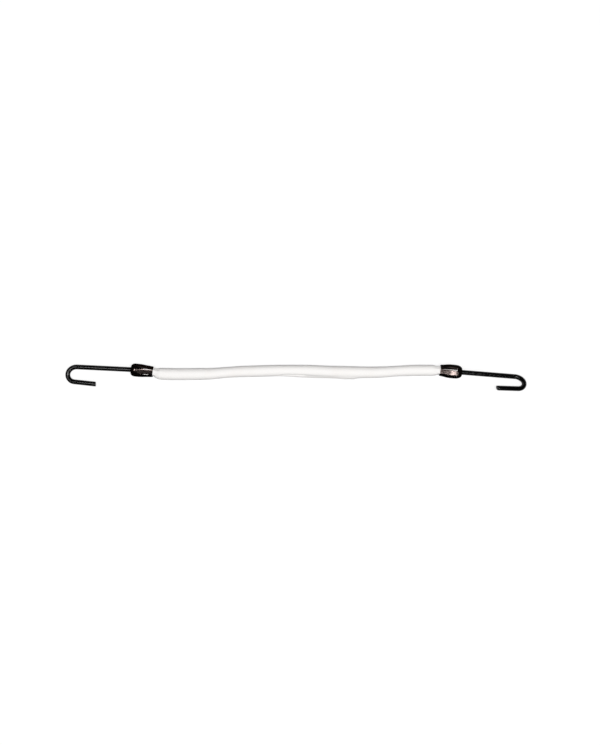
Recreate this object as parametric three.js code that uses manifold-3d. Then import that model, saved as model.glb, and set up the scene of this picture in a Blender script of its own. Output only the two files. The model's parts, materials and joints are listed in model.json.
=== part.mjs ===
// Bungee cord: an elastic cord with a claw cap crimped on each end, and in each cap a headed
// wire hook, dipped in vinyl, that swivels in the hole of the cap.
// Millimetres, +X along the cord, +Z up. The cord lies on the surface z = 0, and the origin
// is on that surface under the middle of the whole length.
import * as THREE from "three";
import { mergeVertices } from "three/addons/utils/BufferGeometryUtils.js";
import Module from "manifold-3d";

// Driving dimensions of the cord
const CORD_DIAMETER = 8.8;
const SHEATH_WALL = 0.8;
const THREAD_SIDE = 0.95;
const THREAD_GAP = 0.2;
const THREADS_ACROSS = 5;

// Driving dimensions of a claw cap, stamped from sheet and folded over the cord's end
const CAP_LENGTH = 17.4;
const CAP_SHEET = 0.8;
const CAP_FACE_RADIUS = 2.6;
const CLAW_COUNT = 6;
const CLAW_SLOT_WIDTH = 1.15;
const GRIP_GAP = 0.25;
const GRIP_EASE_REACH = 6;

// Driving dimensions of a hook
const WIRE_DIAMETER = 3;
const COATING_WALL = 0.3;
const COATING_GAP = 0.1;
const BEND_EASE_RADIUS = 7.5;
const BEND_EASE_DEGREES = 49;
const BEND_RADIUS = 5.48;
const LEG_OPENING_DEGREES = 3.3;
const TIP_ROUNDING = 0.45;
const HEAD_DIAMETER = 5.8;
const HEAD_THICKNESS = 1.6;
const HEAD_CHAMFER = 0.4;
const SWIVEL_GAP = 0.35;

const radians = THREE.MathUtils.degToRad;
const BEND_REACH = THREE.MathUtils.lerp(
  BEND_RADIUS, BEND_EASE_RADIUS, Math.sin(radians(BEND_EASE_DEGREES)),
);

// How each end lies on the surface, and how its cap and hook came out of the press. The pivot is
// the middle of the hole in the cap's face, seen from above. Headings and yaws turn about +Z, and
// a roll about the hook's own shank. Reaches are distances from the cap's face, and a flat is
// the distance of a claw's flat side from the cap's axis.
const LEFT_END = {
  side: "left",
  pivotX: -127.95,
  pivotY: 5.95,
  headingDegrees: 0,
  capYawDegrees: -5.6,
  capPitchDegrees: 2,
  clawTurnDegrees: 38.5,
  shoulderReach: 3.4,
  bellyRadius: 5.1,
  bellyReach: 6,
  slotReach: 9.7,
  mouthSlotWidth: 0.6,
  foldReach: 4,
  foldFlat: 5.1,
  mouthFlat: 3.75,
  shankLength: 42.3,
  legLength: 17.2,
  hookYawDegrees: -2.8,
  hookRollDegrees: 0,
  tipSlantDegrees: -6,
  restsOnBend: true,
};
const RIGHT_END = {
  side: "right",
  pivotX: 129,
  pivotY: 3.82,
  headingDegrees: 180,
  capYawDegrees: -5.4,
  capPitchDegrees: 2.5,
  clawTurnDegrees: 14,
  shoulderReach: 6,
  bellyRadius: 5.5,
  bellyReach: 9,
  slotReach: 3.8,
  mouthSlotWidth: 0.35,
  foldReach: 10,
  foldFlat: 5,
  mouthFlat: 3.95,
  shankLength: 41.8,
  legLength: 16.7,
  hookYawDegrees: -4.55,
  hookRollDegrees: 142,
  tipSlantDegrees: 20,
  restsOnBend: false,
};

// The free cord's route between the two mouths, lying on the surface
const CORD_ROUTE = [
  [-106.55, 3, 5.3],
  [-100.35, 2.55, 4.95],
  [-90.75, 2.4, 4.62],
  [-77.75, 2.5, 4.5],
  [-65.75, 2.8, 4.45],
  [-54.75, 3.65, 4.45],
  [-43.75, 4.35, 4.45],
  [-29.75, 4.75, 4.45],
  [-13.75, 5.2, 4.45],
  [0.25, 5.2, 4.45],
  [12.25, 4.95, 4.45],
  [24.25, 4.42, 4.45],
  [36.25, 4.2, 4.45],
  [48.25, 3.95, 4.45],
  [60.25, 3.83, 4.45],
  [70.25, 4.2, 4.45],
  [80.25, 4.85, 4.52],
  [91.25, 5.3, 4.75],
  [100.25, 5.37, 5.2],
  [106.75, 5.32, 5.75],
];

// Fineness of the round forms
const WIRE_SIDES = 12;
const CORD_SIDES = 12;
const EASE_BEND_STEPS = 4;
const BEND_STEPS = 11;
const STRAIGHT_STEPS = 3;
const CAP_SEGMENTS_PER_CLAW = 6;
const CAP_CURVE_STEPS = 5;
const SLOT_END_STEPS = 6;
const GRIPPED_STEPS = 4;
const EASE_STEPS = 3;
const FREE_STEPS = 12;
const TIP_STEPS = 2;
const CUT_OVERRUN = 3;
const WELD_DISTANCE = 0.001;

const CORD_RADIUS = CORD_DIAMETER / 2;
const CAVITY_RADIUS = CORD_RADIUS - SHEATH_WALL;
const WIRE_RADIUS = WIRE_DIAMETER / 2;
const SLEEVE_RADIUS = WIRE_RADIUS + COATING_GAP;
const COATED_RADIUS = SLEEVE_RADIUS + COATING_WALL;
const HOLE_RADIUS = COATED_RADIUS + SWIVEL_GAP;
const HEAD_RADIUS = HEAD_DIAMETER / 2;
const HEAD_FACE = CAP_SHEET + SWIVEL_GAP;
const CORD_START = HEAD_FACE + HEAD_THICKNESS + SWIVEL_GAP;

const wasm = await Module();
wasm.setup();

const materials = {
  sheath: new THREE.MeshStandardMaterial({ color: 0xf4f1ea, roughness: 0.85, metalness: 0 }),
  rubber: new THREE.MeshStandardMaterial({ color: 0xd8c49a, roughness: 0.7, metalness: 0 }),
  cap: new THREE.MeshStandardMaterial({ color: 0x14100e, roughness: 0.16, metalness: 0.6 }),
  vinyl: new THREE.MeshStandardMaterial({ color: 0x0b0b0c, roughness: 0.24, metalness: 0 }),
  steel: new THREE.MeshStandardMaterial({ color: 0x9a9da1, roughness: 0.35, metalness: 1 }),
};

function toSolid(geometry) {
  const bare = geometry.clone();
  bare.deleteAttribute("normal");
  bare.deleteAttribute("uv");
  const merged = mergeVertices(bare, WELD_DISTANCE);
  return new wasm.Manifold(
    new wasm.Mesh({
      numProp: 3,
      vertProperties: merged.getAttribute("position").array,
      triVerts: new Uint32Array(merged.index.array),
    }),
  );
}

function toGeometry(solid) {
  const mesh = solid.getMesh();
  const places = new THREE.BufferAttribute(mesh.vertProperties, 3);
  const geometry = new THREE.BufferGeometry();
  geometry.setAttribute("position", places);
  geometry.setIndex(new THREE.BufferAttribute(mesh.triVerts, 1));
  geometry.computeVertexNormals();
  return geometry;
}

function cut(geometry, cutters) {
  const solid = cutters.reduce((rest, cutter) => rest.subtract(toSolid(cutter)), toSolid(geometry));
  return toGeometry(solid);
}

// A regular polygon with the middle of one side on +X, as the points of an outline
function polygon(radius, sides) {
  const corner = (_, i) => {
    const angle = ((i + 0.5) * 2 * Math.PI) / sides;
    return new THREE.Vector2(radius * Math.cos(angle), radius * Math.sin(angle));
  };
  return Array.from({ length: sides }, corner);
}

// One ring of a swept solid: its middle, its two directions in the section, and its size
function ring(at, along, scale) {
  const across = new THREE.Vector3(0, 0, 1).cross(along).normalize();
  const up = new THREE.Vector3().crossVectors(along, across).normalize();
  return { at, across, up, scale };
}

// A section carried through rings: a straight prism with one layer between each two rings,
// whose layers are then moved onto them
function sweep(section, rings) {
  const layers = rings.length - 1;
  const solid = new THREE.ExtrudeGeometry(section, {
    depth: layers,
    steps: layers,
    bevelEnabled: false,
  });
  const places = solid.getAttribute("position");
  for (let i = 0; i < places.count; i++) {
    const { at, across, up, scale } = rings[Math.round(places.getZ(i))];
    const place = at.clone();
    place.addScaledVector(across, places.getX(i) * scale);
    place.addScaledVector(up, places.getY(i) * scale);
    places.setXYZ(i, place.x, place.y, place.z);
  }
  solid.computeVertexNormals();
  return solid;
}

// The outer outline of a cap in (distance from its face, radius), where two claws meet: face,
// round shoulder, straight belly, and a curve down to the mouth
function capOutline(end) {
  const clawReach = CAP_LENGTH - end.bellyReach;
  const rise = end.bellyRadius - CAP_FACE_RADIUS;
  const faceEdge = new THREE.Vector2(0, CAP_FACE_RADIUS);
  const shoulderEnd = new THREE.Vector2(end.shoulderReach, end.bellyRadius);
  const bellyEnd = new THREE.Vector2(end.bellyReach, end.bellyRadius);
  const mouth = new THREE.Vector2(CAP_LENGTH, end.mouthFlat / Math.cos(Math.PI / CLAW_COUNT));
  return [
    new THREE.LineCurve(new THREE.Vector2(0, HOLE_RADIUS), faceEdge),
    new THREE.EllipseCurve(
      shoulderEnd.x, faceEdge.y, shoulderEnd.x, rise, Math.PI, Math.PI / 2, true,
    ),
    new THREE.LineCurve(shoulderEnd, bellyEnd),
    new THREE.CubicBezierCurve(
      bellyEnd,
      new THREE.Vector2(bellyEnd.x + clawReach / 3, bellyEnd.y),
      new THREE.Vector2(mouth.x - clawReach / 3, mouth.y),
      mouth,
    ),
  ];
}

// The outline's points, each with the point one sheet thickness inside it
function capWall(end) {
  const wall = [];
  capOutline(end).forEach((curve, nth) => {
    const steps = curve.isLineCurve ? 1 : CAP_CURVE_STEPS;
    for (let i = nth ? 1 : 0; i <= steps; i++) {
      const outer = curve.getPoint(i / steps);
      const along = curve.getTangent(i / steps);
      const inner = new THREE.Vector2(outer.x + along.y * CAP_SHEET, outer.y - along.x * CAP_SHEET);
      wall.push({ outer, inner });
    }
  });
  return wall;
}

// The distance of a claw's flat side from the cap's axis: level as far as the fold, and drawn
// in evenly from there to the mouth
function clawFlat(end, reach) {
  const drawn = (reach - end.foldReach) / (CAP_LENGTH - end.foldReach);
  return THREE.MathUtils.lerp(end.foldFlat, end.mouthFlat, THREE.MathUtils.clamp(drawn, 0, 1));
}

// The radius left for the cord inside a cap, at a distance from the cap's face
function roomInCap(end, reach) {
  const inner = capWall(end).map((place) => place.inner);
  const beyond = inner.findIndex((place) => place.x >= reach);
  const next = beyond > 0 ? beyond : inner.length - 1;
  const before = inner[next - 1];
  const after = inner[next];
  const share = (reach - before.x) / (after.x - before.x);
  return Math.min(THREE.MathUtils.lerp(before.y, after.y, share), clawFlat(end, reach) - CAP_SHEET);
}

// One slot between two claws, as a bar that points out at an angle. It has a round inner end
// and narrows to the mouth.
function slotCutter(end, angle) {
  const half = CLAW_SLOT_WIDTH / 2;
  const mouthHalf = end.mouthSlotWidth / 2;
  const outline = new THREE.Shape();
  outline.moveTo(CAP_LENGTH, -mouthHalf);
  outline.lineTo(CAP_LENGTH + CUT_OVERRUN, -mouthHalf);
  outline.lineTo(CAP_LENGTH + CUT_OVERRUN, mouthHalf);
  outline.lineTo(CAP_LENGTH, mouthHalf);
  outline.absarc(end.slotReach + half, 0, half, Math.PI / 2, (3 * Math.PI) / 2, false);
  const bar = new THREE.ExtrudeGeometry(outline, {
    depth: end.bellyRadius + CUT_OVERRUN - HOLE_RADIUS,
    curveSegments: SLOT_END_STEPS,
    bevelEnabled: false,
  });
  bar.translate(0, 0, HOLE_RADIUS);
  bar.rotateX(angle - Math.PI / 2);
  return bar;
}

// A claw cap with its face at x = 0 and its mouth towards +X: a cup whose claws are pressed
// flat wherever its round wall stands further out than their flat sides
function capGeometry(end) {
  const wall = capWall(end);
  const outer = wall.map((place) => new THREE.Vector2(place.outer.y, place.outer.x));
  const inner = wall.map((place) => new THREE.Vector2(place.inner.y, place.inner.x));
  const profile = [...outer, ...inner.reverse(), outer[0]];
  const cup = new THREE.LatheGeometry(profile, CLAW_COUNT * CAP_SEGMENTS_PER_CLAW);
  cup.rotateZ(-Math.PI / 2);
  const pitch = (2 * Math.PI) / CLAW_COUNT;
  const places = cup.getAttribute("position");
  for (let i = 0; i < places.count; i++) {
    const nth = i % profile.length;
    const depth = nth < wall.length || nth === profile.length - 1 ? 0 : CAP_SHEET;
    const turn = Math.atan2(places.getZ(i), places.getY(i));
    const fromMiddle = turn - pitch * Math.round(turn / pitch);
    const flat = (clawFlat(end, places.getX(i)) - depth) / Math.cos(fromMiddle);
    const share = Math.min(1, flat / Math.hypot(places.getY(i), places.getZ(i)));
    places.setY(i, places.getY(i) * share);
    places.setZ(i, places.getZ(i) * share);
  }
  const slots = Array.from({ length: CLAW_COUNT }, (_, i) => slotCutter(end, (i + 0.5) * pitch));
  return cut(cup, slots);
}

// A hook's centreline in its own plane: shank along +X, a bend that starts gently and then
// turns tighter, and the leg coming back
function hookCurves(end, start, legLength) {
  const quarter = Math.PI / 2;
  const eased = radians(BEND_EASE_DEGREES) - quarter;
  const opening = radians(LEG_OPENING_DEGREES);
  const bendStart = new THREE.Vector2(end.shankLength, 0);
  const ease = new THREE.EllipseCurve(
    bendStart.x, BEND_EASE_RADIUS, BEND_EASE_RADIUS, BEND_EASE_RADIUS, -quarter, eased,
  );
  const inward = new THREE.Vector2(Math.cos(eased), Math.sin(eased)).multiplyScalar(-BEND_RADIUS);
  const middle = ease.getPoint(1).add(inward);
  const bend = new THREE.EllipseCurve(
    middle.x, middle.y, BEND_RADIUS, BEND_RADIUS, eased, quarter - opening,
  );
  const legStart = bend.getPoint(1);
  const legEnd = bend.getTangent(1).multiplyScalar(legLength).add(legStart);
  return [
    { curve: new THREE.LineCurve(new THREE.Vector2(start, 0), bendStart), steps: STRAIGHT_STEPS },
    { curve: ease, steps: EASE_BEND_STEPS },
    { curve: bend, steps: BEND_STEPS },
    { curve: new THREE.LineCurve(legStart, legEnd), steps: STRAIGHT_STEPS },
  ];
}

function hookRings(end, start, legLength) {
  const rings = [];
  hookCurves(end, start, legLength).forEach(({ curve, steps }, nth) => {
    for (let i = nth ? 1 : 0; i <= steps; i++) {
      const at = curve.getPoint(i / steps);
      const along = curve.getTangent(i / steps);
      rings.push(ring(new THREE.Vector3(at.x, at.y, 0), new THREE.Vector3(along.x, along.y, 0), 1));
    }
  });
  return rings;
}

// Rings that round the edge of a tip of the given radius and cut it at a slant
function roundedTip(rings, radius, slantDegrees) {
  const last = rings.pop();
  const along = new THREE.Vector3().crossVectors(last.across, last.up);
  const slant = radians(slantDegrees);
  const across = last.across.clone().multiplyScalar(Math.cos(slant));
  across.addScaledVector(along, Math.sin(slant));
  for (let i = 0; i <= TIP_STEPS; i++) {
    const turn = ((i / TIP_STEPS) * Math.PI) / 2;
    const at = last.at.clone().addScaledVector(along, TIP_ROUNDING * (Math.sin(turn) - 1));
    const scale = 1 - (TIP_ROUNDING / radius) * (1 - Math.cos(turn));
    rings.push({ at, across, up: last.up, scale });
  }
  return rings;
}

// The wire of a hook, with its upset head behind the cap's face
function wireGeometry(end) {
  const along = new THREE.Vector3(1, 0, 0);
  const headBack = HEAD_FACE + HEAD_THICKNESS;
  const headRing = (reach, radius) => ring(new THREE.Vector3(-reach, 0, 0), along, radius / WIRE_RADIUS);
  const head = [
    headRing(headBack, HEAD_RADIUS - HEAD_CHAMFER),
    headRing(headBack - HEAD_CHAMFER, HEAD_RADIUS),
    headRing(HEAD_FACE + HEAD_CHAMFER, HEAD_RADIUS),
    headRing(HEAD_FACE, HEAD_RADIUS - HEAD_CHAMFER),
  ];
  const wire = hookRings(end, -HEAD_FACE, end.legLength - COATING_WALL - COATING_GAP);
  return sweep(new THREE.Shape(polygon(WIRE_RADIUS, WIRE_SIDES)), [...head, ...wire]);
}

// The vinyl on the wire: a sleeve that is open behind the cap's face and closed at the tip
function coatingGeometry(end) {
  const whole = hookRings(end, -CAP_SHEET, end.legLength);
  const skin = roundedTip(whole, COATED_RADIUS, end.tipSlantDegrees);
  const outside = sweep(new THREE.Shape(polygon(COATED_RADIUS, WIRE_SIDES)), skin);
  const bore = hookRings(end, -CAP_SHEET - CUT_OVERRUN, end.legLength - COATING_WALL);
  return cut(outside, [sweep(new THREE.Shape(polygon(SLEEVE_RADIUS, WIRE_SIDES)), bore)]);
}

function part(name, geometry, material) {
  const mesh = new THREE.Mesh(geometry, material);
  mesh.name = name;
  return mesh;
}

// The cap of one end, lying on its belly, and the hook, resting on its bend or its shank
function placeEnd(end) {
  const cap = part(end.side + "_claw_cap", capGeometry(end), materials.cap);
  const heading = radians(end.headingDegrees);
  const capTurn = heading + radians(end.capYawDegrees);
  cap.position.set(end.pivotX, end.pivotY, 0);
  cap.rotation.set(radians(end.clawTurnDegrees), -radians(end.capPitchDegrees), capTurn, "ZYX");
  const height = -new THREE.Box3().setFromObject(cap, true).min.z;
  cap.position.z = height;
  cap.updateMatrixWorld(true);

  const hook = new THREE.Group();
  hook.position.copy(cap.position);
  const restReach = end.shankLength + (end.restsOnBend ? BEND_REACH : 0);
  const hookPitch = Math.asin((height - COATED_RADIUS) / restReach);
  const hookTurn = heading + Math.PI + radians(end.hookYawDegrees);
  hook.rotation.set(radians(end.hookRollDegrees), hookPitch, hookTurn, "ZYX");
  hook.add(part(end.side + "_hook_wire", wireGeometry(end), materials.steel));
  hook.add(part(end.side + "_hook_coating", coatingGeometry(end), materials.vinyl));
  return { cap, hook };
}

// The cord's centreline, straight in each cap and along its route between the mouths
function cordCurve(leftCap, rightCap) {
  const reaches = [CORD_START, (CORD_START + CAP_LENGTH) / 2, CAP_LENGTH];
  const inCap = (cap) => reaches.map((reach) => cap.localToWorld(new THREE.Vector3(reach, 0, 0)));
  const free = CORD_ROUTE.map((place) => new THREE.Vector3(...place));
  return new THREE.CatmullRomCurve3([...inCap(leftCap), ...free, ...inCap(rightCap).reverse()]);
}

// How much the cord is squeezed at a distance from a cap's face
function gripScale(end, reach) {
  const room = roomInCap(end, Math.min(reach, CAP_LENGTH)) - GRIP_GAP;
  const eased = THREE.MathUtils.smoothstep(reach, CAP_LENGTH, CAP_LENGTH + GRIP_EASE_REACH);
  return THREE.MathUtils.lerp(Math.min(1, room / CORD_RADIUS), 1, eased);
}

// The cord's rings: close where a cap grips it and where it swells out of the mouth, and wide
// along its free length
function cordRings(curve) {
  const length = curve.getLength();
  const gripEnd = CAP_LENGTH - CORD_START;
  const easeEnd = gripEnd + GRIP_EASE_REACH;
  const stretches = [
    [0, gripEnd, GRIPPED_STEPS],
    [gripEnd, easeEnd, EASE_STEPS],
    [easeEnd, length - easeEnd, FREE_STEPS],
    [length - easeEnd, length - gripEnd, EASE_STEPS],
    [length - gripEnd, length, GRIPPED_STEPS],
  ];
  return stretches.flatMap(([from, to, steps], nth) => {
    const rings = [];
    for (let i = nth ? 1 : 0; i <= steps; i++) {
      const distance = THREE.MathUtils.lerp(from, to, i / steps);
      const fromLeft = gripScale(LEFT_END, distance + CORD_START);
      const fromRight = gripScale(RIGHT_END, length - distance + CORD_START);
      const at = curve.getPointAt(distance / length);
      const along = curve.getTangentAt(distance / length);
      rings.push(ring(at, along, Math.min(fromLeft, fromRight)));
    }
    return rings;
  });
}

function sheathGeometry(rings) {
  const section = new THREE.Shape(polygon(CORD_RADIUS, CORD_SIDES));
  section.holes.push(new THREE.Path(polygon(CAVITY_RADIUS, CORD_SIDES)));
  return sweep(section, rings);
}

// The square rubber threads stand in a grid without its corners
function threadSections() {
  const middle = (THREADS_ACROSS - 1) / 2;
  const half = THREAD_SIDE / 2;
  const sections = [];
  for (let row = 0; row < THREADS_ACROSS; row++) {
    for (let column = 0; column < THREADS_ACROSS; column++) {
      const isCorner = Math.abs(row - middle) === middle && Math.abs(column - middle) === middle;
      if (isCorner) continue;
      const x = (column - middle) * (THREAD_SIDE + THREAD_GAP);
      const y = (row - middle) * (THREAD_SIDE + THREAD_GAP);
      sections.push(
        new THREE.Shape([
          new THREE.Vector2(x - half, y - half),
          new THREE.Vector2(x + half, y - half),
          new THREE.Vector2(x + half, y + half),
          new THREE.Vector2(x - half, y + half),
        ]),
      );
    }
  }
  return sections;
}

const bungee = new THREE.Group();
const left = placeEnd(LEFT_END);
const right = placeEnd(RIGHT_END);
bungee.add(left.cap, left.hook, right.cap, right.hook);

const rings = cordRings(cordCurve(left.cap, right.cap));
bungee.add(part("braided_sheath", sheathGeometry(rings), materials.sheath));
threadSections().forEach((section, i) => {
  const number = String(i + 1).padStart(2, "0");
  bungee.add(part("rubber_thread_" + number, sweep(section, rings), materials.rubber));
});

export default bungee;
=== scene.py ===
# %% [markdown]
# # Dressing a bungee cord
# An elastic cord lies on a white table. A braided white sheath holds a bundle of rubber threads,
# a black claw cap is crimped on each end, and a headed wire hook, dipped in black vinyl, swivels
# in the hole of each cap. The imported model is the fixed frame, and every piece made here is a
# finer surface in the place of one of its solids. All lengths are in metres.

import json

import bpy
import numpy as np
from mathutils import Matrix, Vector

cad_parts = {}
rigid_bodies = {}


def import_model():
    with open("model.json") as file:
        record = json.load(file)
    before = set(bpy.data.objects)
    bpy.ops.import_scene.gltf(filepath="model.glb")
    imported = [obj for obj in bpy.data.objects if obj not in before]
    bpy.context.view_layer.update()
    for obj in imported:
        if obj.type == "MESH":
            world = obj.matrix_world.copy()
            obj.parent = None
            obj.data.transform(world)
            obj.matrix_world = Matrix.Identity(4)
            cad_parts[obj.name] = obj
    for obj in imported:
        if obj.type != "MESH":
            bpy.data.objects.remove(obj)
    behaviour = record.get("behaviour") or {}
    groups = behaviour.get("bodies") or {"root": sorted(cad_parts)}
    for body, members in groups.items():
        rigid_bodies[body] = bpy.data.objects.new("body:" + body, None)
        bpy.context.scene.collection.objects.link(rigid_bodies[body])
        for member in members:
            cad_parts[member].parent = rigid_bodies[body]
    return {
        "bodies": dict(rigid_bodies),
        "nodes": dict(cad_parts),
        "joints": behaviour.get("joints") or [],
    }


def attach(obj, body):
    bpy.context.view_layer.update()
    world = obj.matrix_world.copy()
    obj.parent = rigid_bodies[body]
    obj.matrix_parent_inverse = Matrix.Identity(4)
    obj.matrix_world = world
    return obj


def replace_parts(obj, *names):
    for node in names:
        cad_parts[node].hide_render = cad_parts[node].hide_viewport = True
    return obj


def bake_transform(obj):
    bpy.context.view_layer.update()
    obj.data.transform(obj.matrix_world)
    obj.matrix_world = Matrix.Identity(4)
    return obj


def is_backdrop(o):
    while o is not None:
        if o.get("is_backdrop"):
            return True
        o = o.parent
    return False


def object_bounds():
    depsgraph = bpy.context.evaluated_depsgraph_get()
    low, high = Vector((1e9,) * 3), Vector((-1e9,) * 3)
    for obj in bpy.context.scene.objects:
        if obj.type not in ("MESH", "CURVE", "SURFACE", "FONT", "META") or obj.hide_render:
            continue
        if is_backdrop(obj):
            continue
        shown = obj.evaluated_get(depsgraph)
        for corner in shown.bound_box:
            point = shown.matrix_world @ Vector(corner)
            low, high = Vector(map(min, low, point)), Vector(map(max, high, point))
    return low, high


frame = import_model()
cad_box = [list(corner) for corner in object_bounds()]
print("bodies:", sorted(frame["bodies"]))
print("CAD box in mm:", np.round(np.array(cad_box) * 1000, 2).tolist())

# %% [markdown]
# ## The camera
# The photograph looks straight down. One of its pixels is 0.777 mm on the table, because the
# cord is 8.8 mm thick and 11.3 pixels wide. A lens could be tried until the picture fits, but
# worked out from that size and the distance it is right at once.

# %% Camera over the cord
PHOTO_HEIGHT = 745
PIXEL = 0.000777
VIEW_MIDDLE_X = 0.00335
VIEW_MIDDLE_Y = 0.0037
CAMERA_DISTANCE = 1.3
CORD_LEVEL = 0.0044

camera_data = bpy.data.cameras.new("camera")
camera_data.lens = camera_data.sensor_width * CAMERA_DISTANCE / (PHOTO_HEIGHT * PIXEL)
camera = bpy.data.objects.new("camera", camera_data)
camera.location = (VIEW_MIDDLE_X, VIEW_MIDDLE_Y, CORD_LEVEL + CAMERA_DISTANCE)
bpy.context.scene.collection.objects.link(camera)
bpy.context.scene.camera = camera
print("lens:", round(camera_data.lens, 1), "mm")

# %% [markdown]
# ## The sizes
# These are the driving dimensions of the solids, with the way in which each end lies. They could
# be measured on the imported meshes, but written out they can be read, and the finer surfaces
# follow the same formulas as the solids. In the tables of the two ends a reach is a distance from
# the cap's face, and turns are in degrees.

# %% Sizes of the cord, the caps and the hooks
CORD_RADIUS = 0.0044
SHEATH_WALL = 0.0008
THREAD_SIDE = 0.00095
THREAD_GAP = 0.0002
THREADS_ACROSS = 5

CAP_LENGTH = 0.0174
CAP_SHEET = 0.0008
CAP_FACE_RADIUS = 0.0026
CLAW_COUNT = 6
CLAW_SLOT_WIDTH = 0.00115
GRIP_GAP = 0.00025
GRIP_EASE_REACH = 0.006

WIRE_RADIUS = 0.0015
SLEEVE_RADIUS = 0.0016
COATED_RADIUS = 0.0019
HOLE_RADIUS = 0.00225
BEND_EASE_RADIUS = 0.0075
BEND_EASE_DEGREES = 49
BEND_RADIUS = 0.00548
BEND_REACH = BEND_RADIUS + (BEND_EASE_RADIUS - BEND_RADIUS) * np.sin(np.radians(BEND_EASE_DEGREES))
LEG_OPENING_DEGREES = 3.3
HEAD_RADIUS = 0.0029
HEAD_THICKNESS = 0.0016
HEAD_CHAMFER = 0.0004
HEAD_FACE = 0.00115
CORD_START = 0.0031

LEFT_END = dict(
    side="left", heading=0, cap_yaw=-5.6, cap_pitch=2, claw_turn=38.5, shoulder_reach=0.0034,
    belly_radius=0.0051, belly_reach=0.006, slot_reach=0.0097, mouth_slot=0.0006, fold_reach=0.004,
    fold_flat=0.0051, mouth_flat=0.00375, shank_length=0.0423, leg_length=0.0172, hook_yaw=-2.8,
    hook_roll=0, tip_slant=-6, rests_on_bend=True,
    claw_trims=(0, 0, 0.0003, 0, 0, 0),
)
RIGHT_END = dict(
    side="right", heading=180, cap_yaw=-5.4, cap_pitch=2.5, claw_turn=14, shoulder_reach=0.006,
    belly_radius=0.0055, belly_reach=0.009, slot_reach=0.0038, mouth_slot=0.00035, fold_reach=0.01,
    fold_flat=0.005, mouth_flat=0.00395, shank_length=0.0418, leg_length=0.0167, hook_yaw=-4.55,
    hook_roll=142, tip_slant=20, rests_on_bend=False,
    claw_trims=(0, 0.0002, 0.0003, 0.0003, 0, 0),
)
print("a hook is", round((LEFT_END["shank_length"] + BEND_REACH + COATED_RADIUS) * 1000, 1), "mm long")

# %% [markdown]
# ## Where each end lies
# The joint of each swivel gives the middle of the hole in a cap's face. The cap turns about it,
# and the hook slopes down from it until its bend, or the end of its shank, touches the table. A
# piece could be turned as an object, but here every object stays at the origin, unturned, so the
# turn goes into the points of its mesh.

# %% Places of the caps and the hooks
def rotation(yaw, pitch, roll):
    """The matrix that rolls about X, then pitches about Y, then yaws about Z, in degrees."""
    turns = np.radians([yaw, pitch, roll])
    (cos_z, cos_y, cos_x), (sin_z, sin_y, sin_x) = np.cos(turns), np.sin(turns)
    about_z = np.array([[cos_z, -sin_z, 0], [sin_z, cos_z, 0], [0, 0, 1]])
    about_y = np.array([[cos_y, 0, sin_y], [0, 1, 0], [-sin_y, 0, cos_y]])
    about_x = np.array([[1, 0, 0], [0, cos_x, -sin_x], [0, sin_x, cos_x]])
    return about_z @ about_y @ about_x


def pivot(end):
    """The middle of the hole in a cap's face, which is the place of the end's swivel."""
    swivel = next(joint for joint in frame["joints"] if joint["name"] == end["side"] + "_swivel")
    return np.array(swivel["pos_m"])


def in_cap(end, points):
    """Points of a cap's own frame, with its face at x = 0 and its mouth towards +X, put in place."""
    turn = rotation(end["heading"] + end["cap_yaw"], -end["cap_pitch"], end["claw_turn"])
    return points @ turn.T + pivot(end)


def in_hook(end, points):
    """Points of a hook's own frame, with its shank along +X from the cap's face, put in place."""
    rest_reach = end["shank_length"] + end["rests_on_bend"] * BEND_REACH
    drop = np.degrees(np.arcsin((pivot(end)[2] - COATED_RADIUS) / rest_reach))
    turn = rotation(end["heading"] + 180 + end["hook_yaw"], drop, end["hook_roll"])
    return points @ turn.T + pivot(end)


left_mouth = in_cap(LEFT_END, np.array([CAP_LENGTH, 0, 0]))
right_mouth = in_cap(RIGHT_END, np.array([CAP_LENGTH, 0, 0]))
print("mouths in mm:", np.round(left_mouth * 1000, 2), np.round(right_mouth * 1000, 2))

# %% [markdown]
# ## The cord's route
# The cord leaves each cap in line with it, comes down to the table and lies there in the slight
# waves of the photograph. The route is the one that the solid cord follows: points listed
# between the mouths, and three points on the axis inside each cap. One of Blender's curves
# would be as smooth, but this spline is the one of the solid, so both lie in the same place.

# %% Centreline of the cord
CORD_ROUTE = [
    (-0.10655, 0.003, 0.0053), (-0.10035, 0.00255, 0.00495), (-0.09075, 0.0024, 0.00462),
    (-0.07775, 0.0025, 0.0045), (-0.06575, 0.0028, 0.00445), (-0.05475, 0.00365, 0.00445),
    (-0.04375, 0.00435, 0.00445), (-0.02975, 0.00475, 0.00445), (-0.01375, 0.0052, 0.00445),
    (0.00025, 0.0052, 0.00445), (0.01225, 0.00495, 0.00445), (0.02425, 0.00442, 0.00445),
    (0.03625, 0.0042, 0.00445), (0.04825, 0.00395, 0.00445), (0.06025, 0.00383, 0.00445),
    (0.07025, 0.0042, 0.00445), (0.08025, 0.00485, 0.00452), (0.09125, 0.0053, 0.00475),
    (0.10025, 0.00537, 0.0052), (0.10675, 0.00532, 0.00575),
]
ROUTE_STEPS = 24
AXIS_POINTS = 3


def spline(points, steps):
    """Points along a smooth curve through the given ones. The time from one to the next is the
    square root of their distance, the slope at each is that of the parabola through it and its
    two neighbours, and a cubic with the slopes of both its ends joins each two."""
    before, after = 2 * points[0] - points[1], 2 * points[-1] - points[-2]
    around = np.concatenate([[before], points, [after]])
    leap = np.diff(around, axis=0)
    time = np.sqrt(np.linalg.norm(leap, axis=1))[:, None]
    rate = leap / time
    slope = rate[:-1] + rate[1:] - (leap[:-1] + leap[1:]) / (time[:-1] + time[1:])
    rise, begin, finish = leap[1:-1], slope[:-1] * time[1:-1], slope[1:] * time[1:-1]
    share = np.arange(steps)[:, None, None] / steps
    bent = (3 * rise - 2 * begin - finish) * share**2 + (begin + finish - 2 * rise) * share**3
    curve = points[:-1] + begin * share + bent
    return np.concatenate([curve.transpose(1, 0, 2).reshape(-1, 3), points[-1:]])


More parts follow.
